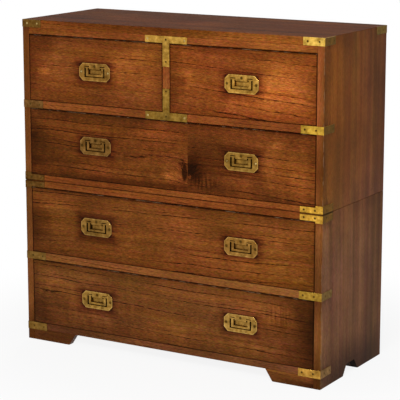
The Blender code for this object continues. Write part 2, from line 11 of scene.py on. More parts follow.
import bpy
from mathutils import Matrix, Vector


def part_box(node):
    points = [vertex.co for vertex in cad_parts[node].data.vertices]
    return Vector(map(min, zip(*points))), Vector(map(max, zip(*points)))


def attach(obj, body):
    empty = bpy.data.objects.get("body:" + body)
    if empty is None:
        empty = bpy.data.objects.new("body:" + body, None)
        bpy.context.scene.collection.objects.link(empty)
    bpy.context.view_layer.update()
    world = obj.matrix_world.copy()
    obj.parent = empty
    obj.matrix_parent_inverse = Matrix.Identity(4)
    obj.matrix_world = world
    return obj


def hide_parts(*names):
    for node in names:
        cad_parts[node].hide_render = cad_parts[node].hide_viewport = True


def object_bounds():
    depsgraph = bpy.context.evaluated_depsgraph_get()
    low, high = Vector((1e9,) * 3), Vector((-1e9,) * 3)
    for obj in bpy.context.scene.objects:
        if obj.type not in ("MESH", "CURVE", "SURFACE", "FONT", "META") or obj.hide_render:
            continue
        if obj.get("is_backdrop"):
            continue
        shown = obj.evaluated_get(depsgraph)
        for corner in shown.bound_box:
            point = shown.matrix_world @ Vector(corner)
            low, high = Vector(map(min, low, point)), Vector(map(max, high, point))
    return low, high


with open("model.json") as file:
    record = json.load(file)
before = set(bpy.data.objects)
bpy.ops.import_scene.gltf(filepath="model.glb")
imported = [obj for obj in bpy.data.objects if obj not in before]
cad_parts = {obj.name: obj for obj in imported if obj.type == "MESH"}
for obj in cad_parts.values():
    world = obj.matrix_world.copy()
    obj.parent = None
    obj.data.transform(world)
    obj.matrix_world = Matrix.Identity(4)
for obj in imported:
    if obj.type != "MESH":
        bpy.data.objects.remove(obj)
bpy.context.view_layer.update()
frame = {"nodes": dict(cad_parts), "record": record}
nodes = frame["nodes"]

# %% [markdown]
# ## Helpers for the finishes
# Colours are picked as the eye sees them, so they are written as sRGB hex values, and one function turns
# them into the linear values that a shader works with. Every finish is a tree of nodes. Building one by
# hand means adding a node, setting its menus and joining its sockets, and `add` does these three at once.
# Each tree has its own.

# %% Colours and nodes
def linear(hex_colour):
    """Turns an sRGB hex colour into the linear RGBA of a shader socket."""
    channels = [int(hex_colour[i : i + 2], 16) / 255 for i in (1, 3, 5)]
    flat = [c / 12.92 if c <= 0.04045 else ((c + 0.055) / 1.055) ** 2.4 for c in channels]
    return (*flat, 1.0)


MENUS = {"MapRange": "interpolation_type", "Mapping": "vector_type", "Mix": "data_type",
         "TexNoise": "noise_dimensions", "TexVoronoi": "voronoi_dimensions"}  # the others' is operation


def add_node(tree, kind, inputs=(), stops=(), **settings):
    """Adds one node. kind is its type, with the choice in its main menu behind that, such as "Math ADD".
    inputs are in their order or by name, and are values or what is linked: a socket, or a node's first
    output in use."""
    kind, _, choice = kind.partition(" ")
    new = tree.nodes.new("ShaderNode" + kind)
    if choice:
        setattr(new, MENUS.get(kind, "operation"), choice)
    if not isinstance(inputs, dict):
        inputs = dict(enumerate(inputs))
    for name, value in settings.items():
        setattr(new, name, value)
    for name, value in inputs.items():
        if isinstance(value, bpy.types.Node):
            value = next(output for output in value.outputs if output.enabled)
        if isinstance(value, bpy.types.NodeSocket):
            tree.links.new(value, new.inputs[name])
        else:
            new.inputs[name].default_value = value
    for at, (place, colour) in enumerate(stops):
        stop = new.color_ramp.elements[at] if at < 2 else new.color_ramp.elements.new(place)
        stop.position = place
        stop.color = linear(colour)
    return new


def new_material(name):
    """A material with an empty tree, and the function that adds a node to that tree."""
    material = bpy.data.materials.new(name)
    material.use_nodes = True
    material.node_tree.nodes.clear()
    return material, partial(add_node, material.node_tree)


# %% [markdown]
# ## Wood
# A board is a slice of a log, so its figure is best made the way a tree makes it: as growth rings round
# a heart, in three dimensions. The pattern space is laid so that its first axis runs along the grain.
# Slow noise makes the log crooked, the distance from the heart gives the rings, and a little taper lets
# the rings run out through the face. End grain and edges then agree with the face, because all of them
# are cut from the same solid pattern. An image or a flat wave texture could not do that. Long thin noise
# along the grain adds fibres and flecks, and noise across the grain the silky mottle of camphor wood.

# %% Wood: how a board lies in its log
# The turn that brings a board's (along the grain, across the face, into the board) to the pattern's X, Y, Z
LAYS = {
    "front": (radians(90), 0.0, 0.0),  # upright, grain left to right, seen from the front
    "flat": (0.0, 0.0, 0.0),  # lying, grain left to right
    "side": (0.0, radians(-90), 0.0),  # upright, grain up and down, seen from the side
    "run": (radians(90), 0.0, radians(90)),  # upright, grain front to back, seen from the side
}
CROOK = (1.3, 3.0, 3.0)  # per metre: the log bends over 0.3 to 0.8 m
WAVER = (9.0, 16.0, 16.0)  # and a grain line wavers over 6 to 11 cm
RIPPLE = 0.008  # by so many metres


def from_middle(add, point, centre, half):
    """How far a point is from the middle of an oval, whose outline is at 1."""
    away = add("VectorMath SUBTRACT", [point, centre])
    away = add("VectorMath DIVIDE", [away, (*half, 1.0)])
    return add("VectorMath LENGTH", [away])


def in_the_log(add, board, seed, heart, taper, wander, eyes):
    """The place in the crooked log, the noise of its last ripple, and how far the heart is."""
    bent = board
    for scale, amount in ((CROOK, wander), (WAVER, RIPPLE)):
        scaled = add("VectorMath MULTIPLY", [board, scale])
        noise = add("TexNoise 4D", {"Vector": scaled, "W": seed, "Scale": 1.0,
                                    "Detail": 2.0}).outputs["Color"]
        bent = add("VectorMath MULTIPLY_ADD", [noise, (0.0, amount, amount), bent])
    away = add("VectorMath MULTIPLY_ADD", [bent, (0.0, 1.0, 1.0), (0.0, *heart)])
    away = add("VectorMath LENGTH", [away])
    along = add("SeparateXYZ", [bent])
    radius = add("Math MULTIPLY_ADD", [along, taper, away])
    for *middle, half_along, half_across, swell in eyes:
        far = from_middle(add, board, (*middle, 0.0), (half_along, half_across))
        bump = add("MapRange SMOOTHERSTEP", {0: far, 3: swell, 4: 0.0})
        radius = add("Math ADD", [radius, bump])
    return bent, noise, radius


# %% Wood: the layers of its grain
# Noise drawn out along the grain: changes per metre (along, across, behind), detail and roughness
LAYERS = {
    "fibre": ((85.0, 335.0, 335.0), 3.0, 0.6),  # fibres 3 mm apart, far coarser than real ones to show
    "streak": ((1.8, 62.0, 62.0), 3.0, 0.6),  # bands of 16 mm
    "fleck": ((62.0, 280.0, 280.0), 1.0, 0.6),  # open pores, 3.5 mm apart and 16 mm long, also coarser
    "mottle": ((34.0, 9.0, 9.0), 2.0, 0.6),  # bars across the grain, 30 mm apart
    "cloud": ((5.0, 4.0, 4.0), 2.0, 0.6),  # soft light and dark, 20 to 25 cm
    "stripe": ((0.9, 24.0, 24.0), 1.0, 0.5),  # broad soft stripes of another colour, 42 mm
}
# How a layer shifts red, green and blue: how strongly, and from what
HUES = {
    "cloud": ((0.30, 0.50, 0.70), (0.85, 0.75, 0.65)),
    "streak": ((0.20, 0.55, 0.90), (0.90, 0.73, 0.55)),
    "fibre": ((0.70, 1.75, 2.60), (0.65, 0.125, -0.30)),
    "stripe": ((0.50, 0.70, 0.90), (0.75, 0.65, 0.55)),
}
TONE_PLACES = (0.30, 0.70, 0.5)  # where a board's dark, light and middle tones lie on the scale
RING_BANDS = 75.0  # soft growth bands, 13 mm
RING_LINES = 60.0  # thin dark lines, 17 mm apart
LINE_WIDTH = 0.0015  # half of what a line is wide, also coarser than a real one
LINE_DARK = 2.4  # how strongly they darken
LINE_DARKEST = 0.12  # what the darkest of them leaves of the colour
FLECK_DARK = 0.27  # how strongly the pores do


def ring_lines(add, radius, layers):
    """The thin dark lines: no two are as dark, and each is broken up along the grain."""
    width = LINE_WIDTH * RING_LINES
    rings = add("TexVoronoi 1D", {"W": radius, "Scale": RING_LINES})
    line = add("MapRange", [rings, 0.25 * width, width, 1.0, 0.0])
    depth = add("SeparateXYZ", [rings.outputs["Color"]])
    line = add("Math MULTIPLY", [line, depth])
    slow = add("Math ADD", [layers["streak"], layers["cloud"]])
    for source, start, end, least in ((slow, 0.84, 1.12, 0.0), (layers["fleck"], 0.36, 0.54, 0.25)):
        shown = add("MapRange", [source, start, end, least, 1.0])
        line = add("Math MULTIPLY", [line, shown])
    return line


# %% Wood: what the years have left on it, and painted shade
FRAY = (0.08, 0.02, 0.0)  # how far a stain runs out along and across the fibres, in metres
JOINT_DIRT_AND_SHADE = 0.26  # what the dirt and painted shade in the joint round a drawer's front leave of the colour
PLATE_HALF = (0.0557, 0.0270)  # of a handle's plate
# Stains round a plate, the last of them a painted shadow with dirt along the plate's edge: how far they
# reach, what they multiply by, and whether they run along the grain
HALOS = ((0.030, (0.58, 0.46, 0.46), True), (0.012, (0.72, 0.66, 0.76), True),
         (0.0022, (0.45, 0.40, 0.45), False))


def dirt_and_gap_shade(add, place, board, half, cloud, grime, dark):
    """Dirt and painted shade in the joint round a drawer's front, and stain along its edges, on what looks
    forward.
    """
    out = add("VectorMath ABSOLUTE", [board])
    out = add("VectorMath SUBTRACT", [out, (*half, 0.0)])
    out = add("SeparateXYZ", [out]).outputs
    edge = add("Math SMOOTH_MAX", [out[0], out[1], 0.004])
    joint = add("MapRange", [edge, -0.0040, -0.0014, 1.0, JOINT_DIRT_AND_SHADE])
    dirty = add("Math MULTIPLY", [dark, joint])
    edge = add("Math MULTIPLY_ADD", [cloud, 0.030, edge])
    stain = add("MapRange SMOOTHSTEP", [edge, -0.022, 0.016, 1.0, 1.0 - grime])
    dirty = add("Math MULTIPLY", [dirty, stain])
    facing = add("VectorMath ABSOLUTE", [place.outputs["Normal"]])
    facing = add("SeparateXYZ", [facing])
    facing = add("MapRange", [facing.outputs[1], 0.3, 0.6])
    return add("Mix", {0: facing, 2: dark, 3: dirty})


def stains_and_shadow_round_handles(add, board, streak, colour, along, above):
    """Stains round the handles, which are so far along from the middle on both sides, and above it, and a
    painted shadow with dirt along each plate's edge.
    """
    out = board
    for step in ((0.0, above, 0.0), (along, 0.0, 0.0)):
        out = add("VectorMath SUBTRACT", [out, step])
        out = add("VectorMath ABSOLUTE", [out])
    out = add("VectorMath SUBTRACT", [out, (*PLATE_HALF, 0.0)])
    out = add("SeparateXYZ", [out]).outputs
    out = add("Math SMOOTH_MAX", [out[0], out[1], 0.016])
    ragged = add("Math SUBTRACT", [streak, 0.5])
    ragged = add("Math MULTIPLY_ADD", [ragged, 0.05, out])
    for reach, stain, runs in HALOS:
        near = add("MapRange SMOOTHSTEP", [ragged if runs else out, 0.0, reach, 1.0, 0.0])
        colour = add("Mix RGBA", {0: near, 6: colour, 7: (*stain, 1.0)}, blend_type="MULTIPLY")
    return colour


def looking(add, place, direction):
    """1 on the faces that look a way, 0 on the others."""
    toward = add("VectorMath DOT_PRODUCT", [place.outputs["Normal"], direction])
    return add("MapRange", [toward, 0.86, 0.96])


# %% Wood: the dovetails of a drawer
PIN_TONE = "#6E4A28"  # end grain of a drawer's front, seen between the tails of its sides
TAILS_END = -0.1983  # y, inside the front
TAILS_START = -0.1845  # where the front's back is
PIN_HALF = (0.0030, 0.0062)  # half the width of a pin at these two places


def dovetails(add, here, colour, lowest, apart):
    """Draws the pins of a drawer's front: the height of the lowest, and half of what two are apart."""
    height = add("Math SUBTRACT", [here[2], lowest])
    height = add("Math PINGPONG", [height, apart])
    half = add("MapRange", [here[1], TAILS_END, TAILS_START, PIN_HALF[0], PIN_HALF[1]], clamp=False)
    pin = add("Math LESS_THAN", [height, half])
    front = add("Math LESS_THAN", [here[1], TAILS_START])
    pin = add("Math MULTIPLY", [pin, front])
    return add("Mix RGBA", {0: pin, 6: colour, 7: linear(PIN_TONE)})


# %% Wood: a whole board
SEAM_SHIFT = 0.37  # metres from the rings of one board to those of the next, so that they don't match
PANEL_SHIFT = 0.61  # the same between the boards of a panel
CURL_WAVES = (130.0, 18.0, 18.0)  # waves across the fibres, 8 mm
CRISP_FROM = 0.55  # where a crisp mark starts to fade, as a share of its size
POLISH_TINT = (1.0, 0.66, 0.36, 1.0)


def wood(name, lay, piece, tones, seed, heart=(0.16, 0.10), taper=0.02, wander=0.03, lines=0.70,
         figure=1.0, mottle=0.12, gloss=0.38, sheen=0.07, grime=0.30, marks=(), eyes=(), halo=None,
         seam=None, curl=None, boards=None, pins=None, stripes=0.0, under=None, worn=None, weathered=()):
    """The wood of a CAD piece, in metres from its middle. heart is how far (across, behind) the log's
    heart is, figure how strongly the grain shows, sheen how much the polish mirrors, grime how dark the
    edges are. marks are (along, across, half length, half width, how much darker, whether crisp), and
    eyes swell the rings in the same way by some metres. halo places the handles, round which it puts
    stains and a painted shadow, and pins the dovetails. seam is (where along it the next board starts, its
    marks), curl (along, across, half length, half width, strength) where the fibres wave in and out,
    boards the width of the boards of a panel, stripes how much the colour changes between stripes, under
    the height of a lower edge darkened by dirt and painted shade, worn (the colour of a painted
    reflection on a bevelled edge, broken into chips, and the way that edge looks). weathered are
    (a direction, what faces that look that way multiply by, for ageing and for painted shade), and, if it
    changes, (the axis, from where, what it is before that, to where)."""
    low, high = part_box(piece)
    x, y, z = (high - low) / 2
    half = {"front": (x, z), "flat": (x, y), "side": (z, y), "run": (y, z)}[lay]
    material, add = new_material(name)
    place = add("TexCoord")
    here = add("SeparateXYZ", [place.outputs["Object"]]).outputs
    board = add("Mapping TEXTURE", [place.outputs["Object"], (low + high) / 2, LAYS[lay]])
    bent, ripple, radius = in_the_log(add, board, seed, heart, taper, wander, eyes)
    along, across, behind = add("SeparateXYZ", [bent]).outputs
    if seam:
        beyond = add("MapRange", [along, seam[0], seam[0] + 0.001])
        radius = add("Math MULTIPLY_ADD", [beyond, SEAM_SHIFT, radius])
    if boards:
        widths = add("SeparateXYZ", [board])
        widths = add("Math DIVIDE", [widths.outputs[1], boards])
        which = add("Math FLOOR", [widths])
        radius = add("Math MULTIPLY_ADD", [which, PANEL_SHIFT, radius])

    weights = {"bands": 0.13 * figure, "fibre": 0.64 * figure, "streak": 0.13 * figure, "cloud": 0.42,
               "mottle": mottle}
    hues = {"cloud": figure, "streak": figure, "fibre": figure}
    if stripes:
        weights["stripe"] = 0.55 * stripes
        hues["stripe"] = stripes
    across = add("Math ADD", [across, radius])
    grain = add("CombineXYZ", [along, across, behind])
    layers = {"bands": add("TexNoise 1D", {"W": radius, "Scale": RING_BANDS, "Detail": 3.0,
                                           "Roughness": 0.6})}
    for layer in (*hues, "fleck", "mottle"):
        scale, detail, roughness = LAYERS[layer]
        scaled = add("VectorMath MULTIPLY", [grain, scale])
        layers[layer] = add("TexNoise 4D", {"Vector": scaled, "W": seed, "Scale": 1.0, "Detail": detail,
                                            "Roughness": roughness})
    tone = 0.5 - sum(weights.values()) / 2
    for layer, weight in weights.items():
        tone = add("Math MULTIPLY_ADD", [layers[layer], weight, tone])
    colour = add("ValToRGB", [tone], stops=zip(TONE_PLACES, tones))

    line = ring_lines(add, radius, layers)
    dark = add("Math MULTIPLY_ADD", [line, -LINE_DARK * lines, 1.0])
    dark = add("Math MAXIMUM", [dark, LINE_DARKEST])
    fleck = add("MapRange SMOOTHSTEP", [layers["fleck"], 0.53, 0.66])
    dark = add("Math MULTIPLY_ADD", [fleck, -FLECK_DARK * figure, dark])
    frayed = add("VectorMath MULTIPLY_ADD", [layers["streak"].outputs["Color"], FRAY, bent])
    crisply = add("VectorMath MULTIPLY_ADD", [ripple, (0.0, RIPPLE, 0.0), board])
    middling = (wander + RIPPLE) / 2

    def shaded(dark, along, beside, half_along, half_across, darker, crisp=False):
        centre = (along + FRAY[0] / 2, beside + middling + FRAY[1] / 2, 0.0)
        if crisp:
            centre = (along, beside + RIPPLE / 2, 0.0)
        far = from_middle(add, crisply if crisp else frayed, centre, (half_along, half_across))
        shade = add("MapRange SMOOTHERSTEP", {0: far, 1: CRISP_FROM if crisp else 0.0, 3: 1.0 - darker,
                                              4: 1.0})
        return add("Math MULTIPLY", [dark, shade])

    for mark in marks:
        dark = shaded(dark, *mark)
    if seam:
        next_board = dark
        for mark in seam[1]:
            next_board = shaded(next_board, *mark)
        dark = add("Mix", {0: beyond, 2: dark, 3: next_board})
    if curl:
        far = from_middle(add, frayed, (curl[0] + FRAY[0] / 2, curl[1] + middling, 0.0), curl[2:4])
        wave = add("VectorMath MULTIPLY", [board, CURL_WAVES])
        wave = add("TexNoise", {"Vector": wave, "Scale": 1.0, "Detail": 2.0})
        wave = add("MapRange", [wave, 0.35, 0.65, 1.0 - curl[4], 1.0 + 2.6 * curl[4]])
        share = add("MapRange SMOOTHSTEP", {0: far, 3: 1.0, 4: 0.0})
        wave = add("Mix", {0: share, 2: 1.0, 3: wave})
        dark = add("Math MULTIPLY", [dark, wave])
    if boards:
        gap = add("Math FRACT", [widths])
        gap = add("Math SUBTRACT", [gap, 0.5])
        gap = add("Math ABSOLUTE", [gap])
        gap = add("MapRange", [gap, 0.5 - 0.0012 / boards, 0.5 - 0.0004 / boards, 1.0, 0.25])
        dark = add("Math MULTIPLY", [dark, gap])
    # Dirt and painted shade in the joint round a front, and stain along its edges
    if grime:
        dark = dirt_and_gap_shade(add, place, board, half, layers["cloud"], grime, dark)
    # A line of dirt and painted shade along a rail's lower edge
    if under:
        dirt_and_shade = add("MapRange", [here[2], under + 0.0008, under + 0.0022, 0.3, 1.0])
        dark = add("Math MULTIPLY", [dark, dirt_and_shade])
    # Stain, age and the painted shade darken towards red, so green and blue sink more
    green = add("Math POWER", [dark, 1.14])
    blue = add("Math POWER", [dark, 1.30])
    dark = add("CombineXYZ", [dark, green, blue])
    colour = add("VectorMath MULTIPLY", [colour, dark])
    for layer, share in hues.items():
        strength = [v * share for v in HUES[layer][0]]
        base = [1.0 - (1.0 - v) * share for v in HUES[layer][1]]
        hue = add("VectorMath MULTIPLY_ADD", [layers[layer].outputs["Color"], strength, base])
        colour = add("VectorMath MULTIPLY", [colour, hue])
    if halo:
        colour = stains_and_shadow_round_handles(add, board, layers["streak"], colour, *halo)
    if pins:
        colour = dovetails(add, here, colour, *pins)
    # Faces that look one way multiply by a factor: ageing on some, painted shade and painted reflection on
    # others
    for direction, factor, *change in weathered:
        aged = (*factor, 1.0)
        if change:
            axis, start, before, end = change
            beyond = add("MapRange SMOOTHSTEP", [here[axis], start, end])
            aged = add("Mix RGBA", {0: beyond, 6: (*before, 1.0), 7: aged})
        share = looking(add, place, direction)
        colour = add("Mix RGBA", {0: share, 6: colour, 7: aged}, blend_type="MULTIPLY")
    # A painted reflection on a bevelled edge, broken into chips
    if worn:
        chips = add("MapRange", {0: layers["mottle"], 1: 0.50, 2: 0.60, 4: 0.9})
        share = add("Math MULTIPLY", [looking(add, place, worn[1]), chips])
        colour = add("Mix RGBA", {0: share, 6: colour, 7: linear(worn[0])})

    rough = add("MapRange", [layers["fibre"], 0.3, 0.7, gloss + 0.07, gloss - 0.04])
    height = add("Math MULTIPLY_ADD", [fleck, -0.6, layers["fibre"]])
    bump = add("Bump", {"Height": height, "Strength": 0.25, "Distance": 0.0006})
    polish = add("BsdfPrincipled", {"Base Color": colour, "Roughness": rough, "Normal": bump,
                                    "Specular IOR Level": sheen, "Specular Tint": POLISH_TINT})
    add("OutputMaterial", {"Surface": polish})
    return material


def paint(mesh, *materials):
    """Gives a mesh its materials; the mesh itself stays as it is."""
    mesh.materials.clear()
    for material in materials:
        mesh.materials.append(material)


# %% [markdown]
# ## The drawer fronts
# The fronts are solid camphor wood, stained and French polished. No two are alike, so each gets its own
# log, and the marks that the eye knows it by: stain gathered at the ends, a darker halo where the brass
# is wiped round, with a painted shadow along each plate, pale patches where it is rubbed, painted
# highlights and painted light on the right of the upper drawers, and on the upper long drawer a knot
# beside a joint. The joint round each front is darkened by dirt and painted shade, and its edges in the
# gap by painted shade.

# %% Drawer fronts
ARRIS_SHEEN = "#8C7056"  # a pale painted reflection on the bevelled edges, broken into chips
GAP_WAYS = ((1.0, 0.0, 0.0), (-1.0, 0.0, 0.0), (0.0, 0.0, 1.0))  # how the walls of a gap look
# Painted shade on a front's edges, in the gap round it
SHADE_IN_THE_GAP = tuple((way, (0.50, 0.50, 0.50)) for way in GAP_WAYS)
HANDLE_LIFT = {"long_1": 0.0040}  # its handles sit a little above the middle
HANDLE_AT = 0.2546  # from the middle of a long drawer
SLANT = cos(pi / 4)  # a bevelled edge looks half one way and half the other
FRONTS = {
    "short_left": dict(
        tones=("#53250B", "#AB672F", "#81441B"), lines=0.45,
        marks=((-0.204, 0.083, 0.08, 0.05, 0.35), (-0.23, 0.0, 0.055, 0.13, 0.25),
               # The third mark is painted light: the right part lighter
               (0.139, 0.0, 0.13, 0.09, -0.16), (-0.19, -0.009, 0.042, 0.022, 0.22, True),
               (-0.188, -0.008, 0.034, 0.016, -0.85, True)),
        eyes=((-0.186, -0.011, 0.075, 0.022, 0.01),)),
    "short_right": dict(
        tones=("#56240A", "#AF662D", "#844319"), heart=(0.14, 0.1), taper=0.05, lines=0.68,
        # The second mark is a painted highlight, the third painted light on the right part
        marks=((-0.222, 0.0, 0.06, 0.13, 0.3), (-0.179, -0.006, 0.03, 0.04, -0.45),
               (0.135, 0.0, 0.15, 0.12, -0.42)),
        eyes=((0.02, 0.055, 0.16, 0.025, 0.006),)),
    "long_1": dict(
        tones=("#401E09", "#945424", "#6B3713"), heart=(0.18, 0.1), taper=0.012, mottle=0.2,
        seam=(0.073, ((0.073, 0.05, 0.2, 0.16, 0.1), (0.11, -0.02, 0.15, 0.1, 0.58),
                      (0.088, -0.04, 0.06, 0.065, 0.85), (0.14, -0.08, 0.1, 0.03, 0.4),
                      (0.08, -0.056, 0.008, 0.009, -3.0, True))),
        curl=(0.125, -0.06, 0.075, 0.036, 0.5),
        marks=((-0.48, 0.0, 0.08, 0.16, 0.35), (-0.38, 0.0, 0.22, 0.2, 0.3),
               (-0.481, 0.02, 0.035, 0.022, 0.4), (-0.481, -0.06, 0.05, 0.03, 0.35),
               # The first mark here is a painted highlight beside the knot
               (0.018, -0.06, 0.052, 0.028, -1.1), (0.063, -0.046, 0.012, 0.034, 0.82, True),
               (0.058, -0.02, 0.022, 0.007, 0.5, True),
               # Painted light on the right part, then a painted highlight
               (0.39, -0.005, 0.15, 0.1, -0.22), (0.379, 0.06, 0.04, 0.02, -0.4),
               (-0.14, -0.093, 0.42, 0.022, 0.4)),
        eyes=((0.07, -0.045, 0.06, 0.05, 0.03), (-0.12, -0.02, 0.14, 0.024, 0.01))),
    "long_2": dict(
        tones=("#50280B", "#A0612B", "#7A4319"), heart=(0.15, 0.1), taper=-0.02,
        marks=((-0.48, -0.02, 0.1, 0.13, 0.52), (-0.36, 0.0, 0.2, 0.2, 0.14),
               (-0.394, 0.039, 0.1, 0.06, -0.3), (0.374, 0.021, 0.03, 0.022, -0.35)),
        eyes=((-0.165, -0.012, 0.075, 0.02, 0.01), (0.05, 0.04, 0.2, 0.02, 0.006))),
    "long_3": dict(
        tones=("#4A280E", "#975D2E", "#76441D"), heart=(0.17, 0.1), taper=0.016, mottle=0.22,
        curl=(0.385, 0.055, 0.08, 0.05, 0.2),
        marks=((-0.47, -0.06, 0.08, 0.08, 0.45), (-0.426, 0.041, 0.08, 0.06, -0.28),
               (0.5, 0.0, 0.12, 0.3, 0.62), (0.44, 0.0, 0.18, 0.25, 0.3),
               (0.35, 0.06, 0.1, 0.05, -0.12)),
        eyes=((-0.44, -0.01, 0.09, 0.026, 0.012), (-0.05, -0.055, 0.22, 0.022, 0.007))),
}
for number, (name, look) in enumerate(FRONTS.items()):
    handle_at = HANDLE_AT if name.startswith("long") else 0.0
    node = f"{name}_front"
    finish = wood(f"polished_camphor_{name}", "front", node, seed=11.0 + number,
                  halo=(handle_at, HANDLE_LIFT.get(name, 0.0)), worn=(ARRIS_SHEEN, (0.0, -SLANT, SLANT)),
                  weathered=SHADE_IN_THE_GAP, **look)
    paint(nodes[node].data, finish)
print(f"{len(FRONTS)} drawer fronts")

# %% [markdown]
# ## The case
# The case is made of the same camphor wood. Its sides are long boards with the grain upright, the rails
# and the top run left to right. Their faces don't look alike: the top is darker than its front edge, by
# painted shade, the sides are dusty below, with a painted grey sheen above towards the wall and painted
# shade towards the rear, the walls of the openings and the undersides are unpolished and painted darker
# as shade, and the narrow front edges, rubbed by every drawer, have stayed warm. So a board's tone also
# follows the way a face looks.

# %% Case
TOP_TONES = ("#54260D", "#A96530", "#7F441B")
SPLIT_TONES = ("#4D220A", "#A3612B", "#82441B")  # the two rails where the chest comes apart
CASE_TONES = {
    "upper_top_rail": TOP_TONES,
    "upper_top_board": TOP_TONES,
    "upper_divider": ("#542711", "#A8612F", "#83451E"),
    "upper_partition": ("#5A290E", "#AF6D36", "#8B4B21"),
    "upper_bottom_board": SPLIT_TONES,
    "lower_top_board": SPLIT_TONES,
    "lower_divider": ("#5C3413", "#AB703A", "#895227"),
    "lower_bottom_board": ("#49270F", "#8D5633", "#6E3F21"),
}
PLAIN_TONES = ("#53290F", "#9A5E2E", "#78441E")
UPPER_SIDE_AGED = (1.50, 1.57, 1.15)  # what the sides multiply by against the front edges
LOWER_SIDE_AGED = (1.40, 1.92, 3.70)  # and lower down, where they are dustier
DUSTY_BELOW, CLEAN_ABOVE = 0.30, 0.75  # the heights between which one goes over into the other
SHEEN_FRONT = (1.0, 0.92, 0.55)  # painted reflection on the upper sides: little grey sheen, so warm, near the front
SHEEN_REAR = (1.0, 1.0, 1.50)  # and greyer towards the wall, a painted reflection of the sky
# Painted shade: what the top multiplies by, darker and less blue than its front edge
TOP_SHADE = (0.73, 0.66, 0.34)
STILE_AGED = (((0.95, 0.95, 0.95), (1.02, 1.18, 1.22)),  # the left side's front edge, above and below
              ((1.20, 1.20, 1.22), (0.66, 0.73, 0.80)))  # and the right side's
RAW_AND_SHADED = (0.30, 0.30, 0.30)  # the openings' walls and the undersides: unpolished wood, and painted shade where little light reaches
SHADE_UNDER_ARCH = ((0.0, -0.835, -0.55), (0.14, 0.14, 0.14))  # painted shade on the slope of a rear foot, which is always in the shade
CASE_MARKS = {
    # On the top board and the top rail the right part is lighter: painted light
    "upper_top_board": ((0.36, -0.205, 0.32, 0.06, -0.32),),
    "upper_top_rail": ((0.36, 0.0, 0.32, 0.9, -0.14),),
    "upper_divider": ((0.33, 0.0, 0.28, 0.9, 0.32), (-0.33, 0.0, 0.2, 0.9, -0.2)),
    "lower_divider": ((-0.33, 0.0, 0.28, 0.9, 0.1), (0.33, 0.0, 0.28, 0.9, -0.08)),
    "lower_bottom_board": ((-0.33, 0.0, 0.25, 0.9, 0.18), (0.3, 0.0, 0.25, 0.9, -0.18)),
    "upper_bottom_board": ((0.33, 0.0, 0.28, 0.9, 0.1),),
    "lower_top_board": ((0.33, 0.0, 0.28, 0.9, 0.1),),
    # The left foot's second mark is painted shade at the inner end of its toe
    "front_foot_left": ((0.0, 0.0, 0.3, 0.1, 0.46), (0.085, -0.01, 0.02, 0.04, 0.5)),
    "front_foot_right": ((0.06, -0.02, 0.2, 0.03, 0.66), (0.1, -0.01, 0.06, 0.05, 0.62),
                         (-0.03, 0.012, 0.06, 0.012, -0.35)),
}
# Rails with a line of dirt and painted shade along their lower edge, over a drawer's gap, and how much wider
# than usual it is
DIRT_AND_SHADE_BELOW = {"upper_top_rail": 0.0, "upper_divider": 0.0, "upper_bottom_board": 0.0016,
               "lower_top_board": 0.0, "lower_divider": 0.0}
BACK_BOARD = 0.155  # width of a board in the backs
ROUND_BRASS = 0.40  # how much darker a side is round its straps


def side_look(name, low, high):
    """How a side looks: dusty below, a painted grey sheen towards the wall, painted shade towards its rear
    edge, dark round the brass and at its ends.
    """
    outside = 1.0 if name.endswith("right") else -1.0
    upper_edge, lower_edge = STILE_AGED[outside > 0]
    weathered = [((outside, 0.0, 0.0), UPPER_SIDE_AGED, 2, DUSTY_BELOW, LOWER_SIDE_AGED, CLEAN_ABOVE),
                 ((0.0, -1.0, 0.0), upper_edge, 2, DUSTY_BELOW, lower_edge, CLEAN_ABOVE),
                 ((-outside, 0.0, 0.0), RAW_AND_SHADED)]
    middle_z = (low.z + high.z) / 2
    levels = [sum(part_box(f"strap_{level}_right"), Vector()).z / 2 for level in
              ("top", "upper_rail", "upper_base", "lower_top", "lower_rail", "lower_base")]
    marks = [(level - middle_z, low.y + 0.030, 0.035, 0.062, ROUND_BRASS) for level in levels]
    # The first is painted shade, darker towards the rear edge; the second darkens the upper end
    marks += [(0.0, high.y, 0.9, 0.20, 0.34), (high.z - middle_z, 0.0, 0.06, 0.5, 0.20)]
    if name == "upper_side_right":
        marks.append((0.645 - middle_z, low.y, 0.12, 0.022, 0.30))
    if name == "lower_side_right":
        marks.append((0.160 - middle_z, low.y, 0.11, 0.022, -0.60))
    if name.startswith("upper"):
        # A painted reflection: a grey sheen towards the wall
        weathered.append(((outside, 0.0, 0.0), SHEEN_REAR, 1, low.y, SHEEN_FRONT, high.y))
    else:
        # The underside and the slope under the arch: unpolished wood and painted shade
        weathered += [((0.0, 0.0, -1.0), RAW_AND_SHADED), SHADE_UNDER_ARCH]
        marks.append((0.0 - middle_z, 0.0, 0.165, 0.5, 0.74))
    return dict(weathered=weathered, marks=marks, sheen=0.02, figure=0.5, lines=0.10, stripes=0.65,
                worn=(ARRIS_SHEEN, (SLANT * outside, -SLANT, 0.0)))


